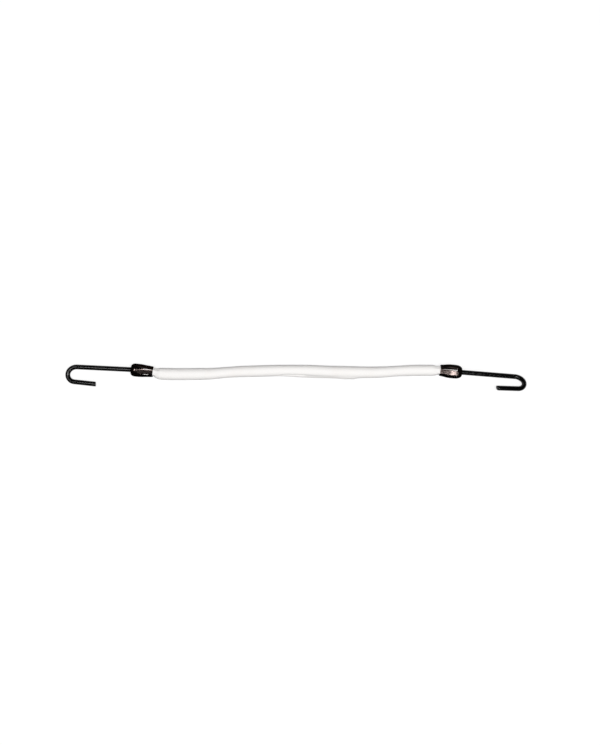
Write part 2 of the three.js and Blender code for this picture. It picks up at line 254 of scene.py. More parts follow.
def stops(line):
    """The distance of each point of a line from its start, along the line."""
    return np.concatenate([[0], np.cumsum(np.linalg.norm(np.diff(line, axis=0), axis=1))])


axis_reaches = np.linspace(CORD_START, CAP_LENGTH, AXIS_POINTS)[:, None] * [1, 0, 0]
cord_line = spline(
    np.concatenate([in_cap(LEFT_END, axis_reaches), CORD_ROUTE, in_cap(RIGHT_END, axis_reaches[::-1])]),
    ROUTE_STEPS,
)
CORD_LENGTH = stops(cord_line)[-1]
print("cord:", round(CORD_LENGTH * 1000, 1), "mm long")

# %% [markdown]
# ## Surfaces from arrays
# Every piece below is a grid of points worked out as whole arrays. A loop that adds one vertex
# at a time would give the same mesh, but it is slow and hides the formula. These helpers number
# the faces of such a grid, carry a section along a line, and put the result into a mesh whose
# object stays at the origin.

# %% Helpers for meshes
def grid(rows, columns):
    """The row and the column number of each place in a grid."""
    return np.meshgrid(np.arange(rows), np.arange(columns), indexing="ij")


def quads(rows, columns, first=0, flip=False):
    """Faces of a tube of points, row by row: each joins four neighbours, and the last column
    joins the first. They face away from the line when the columns turn right-handed about it."""
    row, column = grid(rows - 1, columns)
    beside = (column + 1) % columns
    corners = [
        row * columns + column, row * columns + beside,
        (row + 1) * columns + beside, (row + 1) * columns + column,
    ]
    faces = first + np.stack(corners, axis=-1).reshape(-1, 4)
    return faces[:, ::-1] if flip else faces


def ring_between(columns, first, second):
    """Faces that join two rings of points, whose numbers start at first and at second."""
    faces = quads(2, columns)
    return np.where(faces < columns, faces + first, faces - columns + second)


def frames(along):
    """For each direction of a line, the level direction across it and the one that is upright
    to both."""
    across = np.cross([0, 0, 1], along)
    across /= np.linalg.norm(across, axis=-1, keepdims=True)
    return across, np.cross(along, across)


def new_piece(name, points, faces, maps=None):
    """A piece with those points and faces, smooth all over. A map gives the texture coordinates
    of each corner of each face."""
    mesh = bpy.data.meshes.new(name)
    mesh.from_pydata(points.reshape(-1, 3), [], [face for part in faces for face in part.tolist()])
    mesh.polygons.foreach_set("use_smooth", np.ones(len(mesh.polygons), bool))
    for key, places in (maps or {}).items():
        layer = mesh.uv_layers.new(name=key)
        layer.uv.foreach_set("vector", places.astype(np.float32).ravel())
    mesh.validate()
    piece = bpy.data.objects.new(name, mesh)
    bpy.context.scene.collection.objects.link(piece)
    print(name, len(mesh.polygons), "faces")
    return piece


def smoothstep(value, low, high):
    """0 up to low and 1 from high on, with a cubic that starts and ends level between them."""
    share = np.clip((value - low) / (high - low), 0, 1)
    return share * share * (3 - 2 * share)


print("faces of a tube with two rings of three points:", quads(2, 3).tolist())

# %% [markdown]
# ## The form of a cap
# A cap is stamped from sheet: a flat face with a hole, a round shoulder, a straight belly, and
# six claws that are pressed flat on the cord. A claw's flat side meets the round wall in an arch,
# and the crimp is uneven, so each cap has its own sizes. The form could be modelled by hand, but
# the cord needs it too, because it fills the cap and swells into the slots between the claws. So
# the form is a set of formulas that both pieces use.

# %% Form of a cap
RIDGE_WIDTH = 0.00015


def cap_radius(end, reach):
    """The outer radius of a cap where two claws meet, at a distance from its face: a quarter
    ellipse up the shoulder, level along the belly, and down to the mouth in a curve that starts
    and ends level."""
    short = np.clip(1 - reach / end["shoulder_reach"], 0, 1)
    shoulder = CAP_FACE_RADIUS + (end["belly_radius"] - CAP_FACE_RADIUS) * np.sqrt(1 - short**2)
    mouth_radius = end["mouth_flat"] / np.cos(np.pi / CLAW_COUNT)
    drawn = smoothstep(reach, end["belly_reach"], CAP_LENGTH)
    return shoulder + (mouth_radius - end["belly_radius"]) * drawn


def claw_flat(end, reach):
    """The distance of a claw's flat side from the cap's axis: level as far as the fold, and drawn
    in evenly from there to the mouth."""
    drawn = np.clip((reach - end["fold_reach"]) / (CAP_LENGTH - end["fold_reach"]), 0, 1)
    return end["fold_flat"] + (end["mouth_flat"] - end["fold_flat"]) * drawn


def claw_radius(end, reach, turn, depth=0):
    """The radius at a depth under a cap's skin, at an angle from the middle of a claw: that of the
    round wall or of the flat side, whichever is less, with a narrow round ridge between them."""
    wall = cap_radius(end, reach) - depth
    flat = (claw_flat(end, reach) - depth) / np.cos(turn)
    return (wall + flat - np.sqrt((wall - flat) ** 2 + RIDGE_WIDTH**2)) / 2


def from_claw(angle):
    """The angle from the middle of the nearest claw."""
    pitch = 2 * np.pi / CLAW_COUNT
    return angle - pitch * np.round(angle / pitch)


def half_slot(end, reach):
    """Half the width of a slot: full where its round end stops, and narrowed evenly from there to
    the mouth."""
    half = CLAW_SLOT_WIDTH / 2
    return np.interp(reach, [end["slot_reach"] + half, CAP_LENGTH], [half, end["mouth_slot"] / 2])


def grip_scale(end, reach):
    """How much the core is squeezed at a distance from a cap's face: to the room under the middle
    of a claw inside the cap, and back to nothing a short way out of the mouth."""
    room = claw_radius(end, np.minimum(reach, CAP_LENGTH), 0, CAP_SHEET) - GRIP_GAP
    eased = smoothstep(reach, CAP_LENGTH, CAP_LENGTH + GRIP_EASE_REACH)
    squeezed = np.minimum(1, room / CORD_RADIUS)
    return squeezed + (1 - squeezed) * eased


def squeeze_along(distance):
    """How much the core is squeezed at a distance along it, by the cap on either side."""
    left = grip_scale(LEFT_END, distance + CORD_START)
    right = grip_scale(RIGHT_END, CORD_LENGTH - distance + CORD_START)
    return np.minimum(left, right)


for end in (LEFT_END, RIGHT_END):
    print("the", end["side"], "mouth squeezes the core to", grip_scale(end, CAP_LENGTH).round(3))

# %% [markdown]
# ## The weave of the sheath
# Twelve strands wind each way round the cord, and each goes over two and under two of the
# others. That gives the columns of chevrons that run along such a cord. A bump in the material
# could fake them, but the outline would stay smooth, so the mesh itself is woven. It is laid out
# in diamonds whose sides follow the strands, so that the valleys between strands stay crisp. The
# same weave is worked out again in the material, for the fine yarns.

# %% Heights of the weave
STRANDS = 12
STEPS_ACROSS = 6
STRAND_PITCH = 0.0024
STRAND_CROWN = 0.00015
STRAND_WAVE = 0.00006
CROWN_SPREAD = 0.84
ONE_WAY_PHASE = -0.5
OTHER_WAY_PHASE = 1.5


def strand_height(across, phase):
    """Height of a strand over the weave's ground: half an ellipse across it, plus a wave along it
    that is high where it passes over the others. The phase counts the strands that it crosses,
    and the wave repeats after four."""
    crown = np.sqrt(1 - CROWN_SPREAD * (2 * across) ** 2)
    return STRAND_CROWN * crown + STRAND_WAVE * np.cos(np.pi / 2 * phase)


def weave_height(around, pitches):
    """Height of the weave, with around in strands round the cord and pitches along it. A strand
    of one way keeps around - pitches, and one of the other way keeps around + pitches. The higher
    of the two at a point is the one that shows."""
    one, other = around - pitches, around + pitches
    first, second = np.round(one), np.round(other)
    one_height = strand_height(one - first, first + other + ONE_WAY_PHASE)
    other_height = strand_height(other - second, second + one + OTHER_WAY_PHASE)
    return np.maximum(one_height, other_height)


sides = STRANDS * STEPS_ACROSS
rings = 2 * round(CORD_LENGTH / STRAND_PITCH * STEPS_ACROSS) + 1
print("weave:", rings, "rings of", sides, "points")

# %% [markdown]
# ## The fold in the sheath
# A little past the middle, the sheath is too long for the core and stands out in a fold on the
# near side. A groove sinks in above it where it starts, it has two humps, and it ends almost at
# once. A cloth simulation could make a fold, but not this one in this place, which two bell
# curves round the cord and a table along it give directly.

# %% Fold on the near side
FOLD_ALONG = [-0.012, -0.003, 0.006, 0.016, 0.026, 0.032, 0.038, 0.045, 0.0485, 0.053]
FOLD_HEIGHT = [0, 0.0005, 0.0009, 0.00095, 0.0006, 0.0007, 0.0012, 0.0011, 0.0003, 0]
FOLD_MIDDLE_DEGREES = -6
FOLD_LOWER_DEGREES = 34
FOLD_CREASE_DEGREES = 15
FOLD_SOFT_DEGREES = 34
FOLD_SOFTENS_AT = (0.02, 0.04)
GROOVE_ALONG = [-0.0125, -0.009, 0.0055, 0.009, 0.02, 0.032]
GROOVE_DEPTH = [0, 0.0008, 0.0008, 0.0003, 0.0002, 0]
GROOVE_MIDDLE_DEGREES = 31
GROOVE_SPREAD_DEGREES = 12


def fold_height(x, angle):
    """How far the sheath stands out at a place along X and an angle round the cord. The fold's
    height goes evenly from one listed value to the next. Round the cord it falls off as a bell
    curve, steeply above its middle and gently below it. The groove is a narrow bell curve taken
    off above it."""
    along = np.interp(x, FOLD_ALONG, FOLD_HEIGHT)
    over_near_side = np.degrees(np.angle(-np.exp(-1j * angle)))
    groove = np.exp(-(((over_near_side - GROOVE_MIDDLE_DEGREES) / GROOVE_SPREAD_DEGREES) ** 2))
    raised = over_near_side - FOLD_MIDDLE_DEGREES
    softer = smoothstep(x, *FOLD_SOFTENS_AT)
    upper = FOLD_CREASE_DEGREES + (FOLD_SOFT_DEGREES - FOLD_CREASE_DEGREES) * softer
    spread = np.where(raised > 0, upper, FOLD_LOWER_DEGREES)
    fold = along * np.exp(-((raised / spread) ** 2))
    return fold - np.interp(x, GROOVE_ALONG, GROOVE_DEPTH) * groove


print("the fold's height and the groove's depth in mm:", max(FOLD_HEIGHT) * 1000, max(GROOVE_DEPTH) * 1000)

# %% [markdown]
# ## The sheath
# The outer surface takes the weave's height, the fold, and the form of the caps near its ends.
# Between the claws it swells out, because the crimp squeezes it there, and where it is plumper it
# lies flat on the table. An inner wall, which gives way a little under the groove, and a ring at
# each cut end close it into a tube, which lets the rubber threads lie inside.

# %% Radius of the sheath
SHEATH_CLEARANCE = 0.0001
SLOT_SWELL_SHARE = 0.8
SWELL_FADE_REACH = 0.005
PLUMP_ALONG = [
    -0.106, -0.098, -0.091, -0.075, -0.067, -0.06, -0.052, -0.044, -0.028, -0.013,
    0, 0.01, 0.034, 0.057, 0.065, 0.072, 0.08, 0.088, 0.104,
]
PLUMP_SHARE = [
    0.015, 0.055, 0.04, 0.035, 0.01, -0.035, -0.055, -0.03, 0.01, -0.015,
    -0.005, 0.025, 0.025, 0, -0.005, -0.05, -0.08, -0.03, -0.035,
]


def gripped_radius(end, reach, angle, free):
    """The sheath's radius at a distance from a cap's face, with the angle in the cap's own frame:
    just inside the claws, swollen towards the free radius in the slots until they near the mouth,
    and eased to the free radius out of it."""
    inside = np.minimum(reach, CAP_LENGTH)
    turn = from_claw(angle)
    claw = np.minimum(claw_radius(end, inside, turn, CAP_SHEET) - SHEATH_CLEARANCE, free)
    from_slot = (np.pi / CLAW_COUNT - np.abs(turn)) * claw
    in_slot = 1 - smoothstep(from_slot / half_slot(end, inside), 0, 1)
    open_slot = smoothstep(inside, end["slot_reach"], end["slot_reach"] + CLAW_SLOT_WIDTH)
    open_slot = open_slot * (1 - smoothstep(inside, CAP_LENGTH - SWELL_FADE_REACH, CAP_LENGTH))
    held = claw + (free - claw) * SLOT_SWELL_SHARE * in_slot * open_slot
    return held + (free - held) * smoothstep(reach, CAP_LENGTH, CAP_LENGTH + GRIP_EASE_REACH)


def sheath_radius(distance, angle, x):
    """The sheath's radius without its weave: the cord's own, plumper in places, with the fold
    added and both grips applied."""
    free = CORD_RADIUS * (1 + np.interp(x, PLUMP_ALONG, PLUMP_SHARE)) + fold_height(x, angle)
    left_angle = angle - np.radians(LEFT_END["claw_turn"])
    right_angle = np.pi - angle - np.radians(RIGHT_END["claw_turn"])
    left = gripped_radius(LEFT_END, distance + CORD_START, left_angle, free)
    right = gripped_radius(RIGHT_END, CORD_LENGTH - distance + CORD_START, right_angle, free)
    return np.minimum(left, right)


def on_cord(distance, angle, radius):
    """Points round the cord's centreline, at distances along it, angles round it and radii from
    it. The angle is 0 on the far side and turns up over the cord."""
    travelled = stops(cord_line)
    middle = np.stack([np.interp(distance, travelled, part) for part in cord_line.T], axis=-1)
    slopes = np.gradient(cord_line, travelled, axis=0)
    along = np.stack([np.interp(distance, travelled, part) for part in slopes.T], axis=-1)
    across, upright = frames(along / np.linalg.norm(along, axis=-1, keepdims=True))
    outward = across * np.cos(angle)[..., None] + upright * np.sin(angle)[..., None]
    return middle + outward * radius[..., None]


thinnest, thickest = (2 * CORD_RADIUS * (1 + pick(PLUMP_SHARE)) * 1000 for pick in (min, max))
print("the free cord is", round(thinnest, 1), "to", round(thickest, 1), "mm thick")

# %% Faces and map of the weave
HALF_STEP = 0.5 / STEPS_ACROSS


def strands_round(row, column):
    """How many strands round the cord a point lies. Every second ring is turned by half a step."""
    return (column + row % 2 / 2) / STEPS_ACROSS


def diamonds(rows, columns):
    """Faces of a tube whose every second ring is turned by half a step. Each face is a diamond
    from a point of one ring, by two of the next, to one of the ring after. Triangles fill the
    notches at both ends, whose rings are whole steps."""
    row, column = grid(rows - 2, columns)
    odd = row % 2
    low, high = row * columns + column, (row + 2) * columns + column
    right = (row + 1) * columns + (column + odd) % columns
    left = (row + 1) * columns + (column + odd - 1) % columns
    middle = np.stack([low, right, high, left], axis=-1).reshape(-1, 4)
    here = np.arange(columns)
    beside = (here + 1) % columns
    last = (rows - 1) * columns
    begin = np.stack([here, beside, here + columns], axis=-1)
    finish = np.stack([last + beside, last + here, last - columns + here], axis=-1)
    return middle, begin, finish


def face_map(across, along, places):
    """Texture coordinates of the corners of some faces. A face's corners lie at those numbers of
    half steps from its own place across and along the weave."""
    corners = [(across + right * HALF_STEP, along + up * HALF_STEP) for right, up in places]
    return np.stack([np.stack(corner, axis=-1) for corner in corners], axis=-2).reshape(-1, 2)


def weave_map(rows, columns):
    """Texture coordinates of those diamonds and triangles, in strands and pitches, run on past the
    seam instead of back to zero."""
    row, column = grid(rows - 2, columns)
    here = np.arange(columns) / STEPS_ACROSS
    last = 0 * here + (rows - 1) * HALF_STEP
    middle = face_map(strands_round(row, column), row * HALF_STEP, [(0, 0), (1, 1), (0, 2), (-1, 1)])
    begin = face_map(here, 0 * here, [(0, 0), (2, 0), (1, 1)])
    finish = face_map(here, last, [(2, 0), (0, 0), (1, -1)])
    return middle, begin, finish


print("a diamond is", round(2 * HALF_STEP, 3), "strands wide")

# %% Mesh of the sheath
WALL_STEP = 12
CRUSHING_SHARE = 0.75
CRUSHED_WEAVE_SHARE = 0.35
WALL_YIELD_SHARE = 0.4


def make_sheath():
    """The tube of the sheath: the woven outside, the plain inner wall, and the two cut ends. The
    weave loses height as the core is squeezed towards the crushing share of its radius, and no
    point lies lower than the table."""
    row, column = grid(rings, sides)
    distance = row * CORD_LENGTH / (rings - 1)
    around = strands_round(row, column)
    angle = around * 2 * np.pi / STRANDS
    x = on_cord(distance, angle, 0 * angle)[..., 0]
    radius = sheath_radius(distance, angle, x)
    squeeze = squeeze_along(distance)
    relief = CRUSHED_WEAVE_SHARE + (1 - CRUSHED_WEAVE_SHARE) * smoothstep(squeeze, CRUSHING_SHARE, 1)
    depth = weave_height(around, row / 2 / STEPS_ACROSS) - STRAND_CROWN
    outside = on_cord(distance, angle, radius + relief * depth)
    outside[..., 2] = np.maximum(outside[..., 2], 0)
    inner_rows = np.arange(0, rings, WALL_STEP)
    inner_rows[-1] = rings - 1
    wall_radius = (CORD_RADIUS - SHEATH_WALL) * squeeze[inner_rows]
    wall_angle = np.broadcast_to(column[0] * 2 * np.pi / sides, wall_radius.shape)
    wall_radius = wall_radius + np.minimum(fold_height(x[inner_rows], wall_angle), 0) * WALL_YIELD_SHARE
    inside = on_cord(distance[inner_rows], wall_angle, wall_radius)
    points = np.concatenate([outside.reshape(-1, 3), inside.reshape(-1, 3)])
    first = rings * sides
    wall = quads(len(inner_rows), sides, first, flip=True)
    start = ring_between(sides, first, 0)
    finish = ring_between(sides, first - sides, len(points) - sides)
    parts = [*diamonds(rings, sides), wall, start, finish]
    mapped = weave_map(rings, sides)
    plain = np.zeros((wall.size + start.size + finish.size, 2))
    return new_piece("woven_sheath", points, parts, {"weave": np.concatenate([*mapped, plain])})


sheath = make_sheath()
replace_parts(sheath, "braided_sheath")
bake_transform(sheath)

# The path has four points for each stretch of the route.
2 * CORD_RADIUS
cord_line[::ROUTE_STEPS // 4]

# %% [markdown]
# ## The rubber threads
# The core is a bundle of square threads cut from a sheet of rubber. They can't be seen while the
# sheath is whole, so they keep the plain form of their solids, with softened edges. Curves with a
# square profile would do, but arrays also follow the squeeze of the core in the caps.

# %% Rubber threads in the sheath
THREAD_STEPS = 120
THREAD_CHAMFER = 0.00012


def thread_places():
    """Middles of the threads in the cord's section: a square grid without its corners."""
    middle = (THREADS_ACROSS - 1) / 2
    steps = np.arange(THREADS_ACROSS) - middle
    column, row = (part.ravel() for part in np.meshgrid(steps, steps))
    inner = (np.abs(column) < middle) | (np.abs(row) < middle)
    return np.stack([column, row], axis=-1)[inner] * (THREAD_SIDE + THREAD_GAP)


def make_threads():
    """All threads as one piece: an eight-sided section for each, carried along the cord and
    squeezed with it."""
    half, cut = THREAD_SIDE / 2, THREAD_SIDE / 2 - THREAD_CHAMFER
    section = np.array([
        (half, -cut), (half, cut), (cut, half), (-cut, half),
        (-half, cut), (-half, -cut), (-cut, -half), (cut, -half),
    ])
    distance = np.linspace(0, CORD_LENGTH, THREAD_STEPS + 1)
    flat = (thread_places()[:, None, None] + section) * squeeze_along(distance)[:, None, None]
    angle, radius = np.arctan2(flat[..., 1], flat[..., 0]), np.linalg.norm(flat, axis=-1)
    points = on_cord(np.broadcast_to(distance[:, None], angle.shape), angle, radius)
    rows, columns = len(distance), len(section)
    starts = np.arange(len(points)) * rows * columns
    skins = [quads(rows, columns, start) for start in starts]
    ring = np.arange(columns) + starts[:, None]
    return new_piece("rubber_core", points, [*skins, ring[:, ::-1], ring + (rows - 1) * columns])


core = make_threads()
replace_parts(core, *(name for name in frame["nodes"] if name.startswith("rubber_thread")))
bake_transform(core)

# %% [markdown]
# ## The claw caps
# One claw is a strip of a grid from the hole to the mouth. The strips share their edges as far
# as the slots, and part there, along the round end and the straight sides of each slot. Six of
# them make the outer skin. A boolean could cut the slots instead, but it would leave the faces
# round them ragged. The sheet's thickness and its rounded edges come from modifiers.

# %% Mesh of a cap
SHOULDER_STEPS = 22
SLOT_END_STEPS = 6
CLAW_STEPS = 48
ACROSS_CLAW_STEPS = 28
TIP_CORNER = 0.0006
TIP_STEPS = 5
EDGE_ROUNDING = 0.00012
ROUNDING_SEGMENTS = 3
WELD_DISTANCE = 0.00001


def cap_rows(end, trim):
    """For each row from the hole to a claw's tip: its distance from the face, its radius and half
    the width of the slot there. The slot opens in a quarter circle, narrows evenly to the mouth
    and widens again where the corners of the tips are rounded."""
    half = CLAW_SLOT_WIDTH / 2
    rise = np.linspace(0, np.pi / 2, SHOULDER_STEPS + 1)
    body = end["slot_reach"] * (1 - np.cos(rise))
    opening = np.linspace(0, np.pi / 2, SLOT_END_STEPS + 1)[1:]
    slot_end = end["slot_reach"] + half * (1 - np.cos(opening))
    length = CAP_LENGTH - trim
    claw = np.linspace(slot_end[-1], length - TIP_CORNER, CLAW_STEPS + 1)[1:]
    closing = np.linspace(0, np.pi / 2, TIP_STEPS + 1)[1:]
    tip = length - TIP_CORNER * (1 - np.sin(closing))
    reach = np.concatenate([[0], body, slot_end, claw, tip])
    radius = np.concatenate([[HOLE_RADIUS], cap_radius(end, reach[1:])])
    width = half_slot(end, reach)
    width[: -len(claw) - len(tip)] = np.concatenate([np.zeros(1 + len(body)), half * np.sin(opening)])
    width[-len(tip) :] += TIP_CORNER * (1 - np.cos(closing))
    return reach, radius, width


def make_cap(name, end):
    """A cap's sheet metal, as its outer skin with a thickness inwards and rounded edges."""
    rows_of_claws = [cap_rows(end, trim) for trim in end["claw_trims"]]
    reach, radius, width = (np.stack(part)[..., None] for part in zip(*rows_of_claws))
    claw = np.arange(CLAW_COUNT)[:, None, None] * 2 * np.pi / CLAW_COUNT
    share = np.linspace(-1, 1, ACROSS_CLAW_STEPS + 1)
    turn = share * (np.pi / CLAW_COUNT - np.arcsin(width / radius))
    bent = np.minimum(radius, claw_radius(end, reach, turn))
    sideways, upwards = bent * np.cos(claw + turn), bent * np.sin(claw + turn)
    local = np.stack(np.broadcast_arrays(reach, sideways, upwards), axis=-1)
    rows, columns = local.shape[1:3]
    row, column = grid(rows - 1, columns - 1)
    strip = row * columns + column
    strip = np.stack([strip, strip + 1, strip + columns + 1, strip + columns], axis=-1).reshape(-1, 4)
    faces = [strip + claw_start for claw_start in np.arange(CLAW_COUNT) * rows * columns]
    cap = new_piece(name, in_cap(end, local), faces)
    weld = cap.modifiers.new("weld", "WELD")
    weld.merge_threshold = WELD_DISTANCE
    sheet = cap.modifiers.new("sheet", "SOLIDIFY")
    sheet.thickness, sheet.offset, sheet.use_even_offset = CAP_SHEET, -1, True
    rounding = cap.modifiers.new("rounding", "BEVEL")
    rounding.width, rounding.segments = EDGE_ROUNDING, ROUNDING_SEGMENTS
    rounding.limit_method = "ANGLE"
    cap.modifiers.new("normals", "WEIGHTED_NORMAL").keep_sharp = True
    return cap


caps = {}
for side, end in (("left", LEFT_END), ("right", RIGHT_END)):
    caps[side] = make_cap(side + "_cap_shell", end)
    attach(caps[side], side + "_end")
    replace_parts(caps[side], side + "_claw_cap")
    caps[side]

# %% [markdown]
# ## The hooks
# A hook is one wire: a straight shank, a bend of a little less than half a turn that starts
# gently and then turns tighter, and a leg that comes back beside the shank. A round section
# carried along that line gives the wire and, slightly wider, its vinyl skin. The wire's upset
# head sits behind the cap's face, and the skin starts in the hole and closes over the tip with a
# soft edge. A bevelled curve could make the plain stretches, but not the head or the slanted tip.

# %% Line and rings of a hook
WIRE_SIDES = 48
SHANK_STEPS = 24
EASE_BEND_STEPS = 24
BEND_STEPS = 48
LEG_STEPS = 14
TIP_ROUNDING = 0.00045
TIP_ROUNDING_STEPS = 6


def hook_line(end, start, leg):
    """Points of a hook's middle in its own plane, with their directions. The direction turns from
    along X through less than half a circle: first about the wide arc's middle and then about the
    tight one's, which lies on the line from the first middle to the point where the arcs meet. The
    shank from start and a leg of that length run straight on from the ends of the arcs."""
    eased, stop = np.radians([BEND_EASE_DEGREES, 180 - LEG_OPENING_DEGREES])
    turn = np.concatenate([
        np.zeros(SHANK_STEPS), np.linspace(0, eased, EASE_BEND_STEPS + 1),
        np.linspace(eased, stop, BEND_STEPS + 1)[1:], np.full(LEG_STEPS, stop),
    ])
    along = np.stack([np.cos(turn), np.sin(turn), 0 * turn], axis=-1)
    outward = np.stack([np.sin(turn), -np.cos(turn), 0 * turn], axis=-1)
    meeting = np.array([np.sin(eased), -np.cos(eased), 0])
    tight = (turn > eased)[:, None]
    eased_middle = np.array([end["shank_length"], BEND_EASE_RADIUS, 0])
    middle = eased_middle + tight * meeting * (BEND_EASE_RADIUS - BEND_RADIUS)
    slide = np.zeros(len(turn))
    slide[:SHANK_STEPS] = np.linspace(start - end["shank_length"], 0, SHANK_STEPS, endpoint=False)
    slide[-LEG_STEPS:] = np.linspace(0, leg, LEG_STEPS + 1)[1:]
    radius = np.where(tight, BEND_RADIUS, BEND_EASE_RADIUS)
    return middle + outward * radius + along * slide[:, None], along


def hook_tube(middle, along, radius, slant=0):
    """Rings of a round section along a hook's line. A slant, in degrees, leans each ring towards
    the line's direction on one side."""
    across, upright = frames(along)
    lean = np.radians(np.broadcast_to(slant, radius.shape))[:, None]
    across = across * np.cos(lean) + along * np.sin(lean)
    angle = np.arange(WIRE_SIDES) * 2 * np.pi / WIRE_SIDES
    outward = across[:, None] * np.cos(angle)[:, None] + upright[:, None] * np.sin(angle)[:, None]
    return middle[:, None] + outward * radius[:, None, None]


def rounded_tip(middle, along, radius):
    """The line and the radii of a tube, with its last point swapped for rings that turn in
    through a quarter circle and end flat."""
    turn = np.linspace(0, np.pi / 2, TIP_ROUNDING_STEPS + 1)
    ends = middle[-1] + along[-1] * (TIP_ROUNDING * (np.sin(turn) - 1))[:, None]
    radii = radius - TIP_ROUNDING * (1 - np.cos(turn))
    middle = np.concatenate([middle[:-1], ends])
    along = np.concatenate([along[:-1], np.repeat(along[-1:], len(turn), axis=0)])
    return middle, along, np.concatenate([np.full(len(middle) - len(turn), radius), radii])


print("a hook's line has", len(hook_line(LEFT_END, 0, LEFT_END["leg_length"])[0]), "points")

# %% Wire and vinyl of both hooks
COATING_WALL = 0.0003
COATING_GAP = 0.0001


def make_wire(name, end):
    """The bare wire with its head: the head's rings, then those of the hook's line."""
    back = HEAD_FACE + HEAD_THICKNESS
    head_reach = -np.array([back, back - HEAD_CHAMFER, HEAD_FACE + HEAD_CHAMFER, HEAD_FACE])
    head_radius = HEAD_RADIUS - np.array([HEAD_CHAMFER, 0, 0, HEAD_CHAMFER])
    middle, along = hook_line(end, -HEAD_FACE, end["leg_length"] - COATING_WALL - COATING_GAP)
    middle = np.concatenate([head_reach[:, None] * [1, 0, 0], middle])
    along = np.concatenate([np.repeat(along[:1], len(head_reach), axis=0), along])
    radius = np.concatenate([head_radius, np.full(len(middle) - len(head_reach), WIRE_RADIUS)])
    points = hook_tube(middle, along, radius)
    ring = np.arange(WIRE_SIDES)
    ends = ring[None, ::-1], ring[None] + (len(points) - 1) * WIRE_SIDES
    return new_piece(name, in_hook(end, points), [quads(len(points), WIRE_SIDES), *ends])


def make_vinyl(name, end):
    """The skin on the wire: the outside with its rounded tip, the bore, which is closed at the tip,
    and a ring between the two at the open end."""
    whole = hook_line(end, -CAP_SHEET, end["leg_length"])
    middle, along, radius = rounded_tip(*whole, COATED_RADIUS)
    slant = np.zeros(len(radius))
    slant[-TIP_ROUNDING_STEPS - 1 :] = end["tip_slant"]
    outside = hook_tube(middle, along, radius, slant)
    middle, along = hook_line(end, -CAP_SHEET, end["leg_length"] - COATING_WALL)
    bore = hook_tube(middle, along, np.full(len(middle), SLEEVE_RADIUS))
    first = len(outside) * WIRE_SIDES
    mouth = ring_between(WIRE_SIDES, first, 0)
    ring = np.arange(WIRE_SIDES)
    closings = ring[None] + first - WIRE_SIDES, ring[None, ::-1] + first + (len(bore) - 1) * WIRE_SIDES
    skins = quads(len(outside), WIRE_SIDES), quads(len(bore), WIRE_SIDES, first, flip=True)
    points = np.concatenate([outside, bore])
    return new_piece(name, in_hook(end, points), [*skins, mouth, *closings])


wires, vinyls = {}, {}
for side, end in (("left", LEFT_END), ("right", RIGHT_END)):
    wires[side] = make_wire(side + "_wire", end)
    vinyls[side] = make_vinyl(side + "_vinyl_skin", end)
    dressed = (wires[side], "_hook_wire", "hook_wire"), (vinyls[side], "_hook_coating", "black_vinyl")
    for piece, node, slot in dressed:
        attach(piece, side + "_hook")
        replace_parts(piece, side + node)

# %% [markdown]
# ## Maths on sockets
# A material is a graph of nodes. To write its maths as it would be written on paper, a small
# class wraps the output of a node, and its operators add the Math nodes. Every other node comes
# from one method of the graph.

# %% A socket that adds and multiplies
class Value:
    """The output of a node in a graph, used as a number."""

    def __init__(self, graph, output):
        self.graph = graph
        self.output = output

    def maths(self, operation, *values):
        """A Math node that works out that operation of the values."""
        return self.graph.node("ShaderNodeMath", {"operation": operation}, dict(enumerate(values)))

    def __add__(self, other):
        return self.maths("ADD", self, other)

    def __sub__(self, other):
        return self.maths("SUBTRACT", self, other)

    def __rsub__(self, other):
        return self.maths("SUBTRACT", other, self)

    def __mul__(self, other):
        return self.maths("MULTIPLY", self, other)

    def __pow__(self, other):
        return self.maths("POWER", self, other)

    def __gt__(self, other):
        return self.maths("GREATER_THAN", self, other)

    def __round__(self):
        return self.maths("ROUND", self)

    def __abs__(self):
        return self.maths("ABSOLUTE", self)

    __radd__ = __add__
    __rmul__ = __mul__

    def cosine(self):
        return self.maths("COSINE", self)

    def maximum(self, other):
        return self.maths("MAXIMUM", self, other)

    def between(self, low, high):
        """0 up to low, 1 from high on, and a smooth rise between them."""
        return self.graph.node(
            "ShaderNodeMapRange",
            {"interpolation_type": "SMOOTHSTEP"},
            {"Value": self, "From Min": low, "From Max": high},
        )


# %% A graph of nodes and a finish
class Graph:
    """The nodes of a material or of the world."""

    def __init__(self, owner):
        owner.use_nodes = True
        self.tree = owner.node_tree

    def node(self, kind, settings=None, values=None, output=0):
        """A node of that kind, with its settings, then the values or links of its sockets."""
        made = self.tree.nodes.new(kind)
        for name, value in (settings or {}).items():
            setattr(made, name, value)
        for key, value in (values or {}).items():
            self.set(made.inputs[key], value)
        return Value(self, made.outputs[output])

    def set(self, socket, value):
        """Links a value to a socket, or sets a plain number or colour on it."""
        if isinstance(value, Value):
            self.tree.links.new(value.output, socket)
        else:
            socket.default_value = value

    def rays(self, first, *others):
        """1 for rays of any of those kinds, such as Camera or Glossy, and 0 for all others."""
        kind = self.node("ShaderNodeLightPath", output=f"Is {first} Ray")
        return kind.maximum(self.rays(*others)) if others else kind


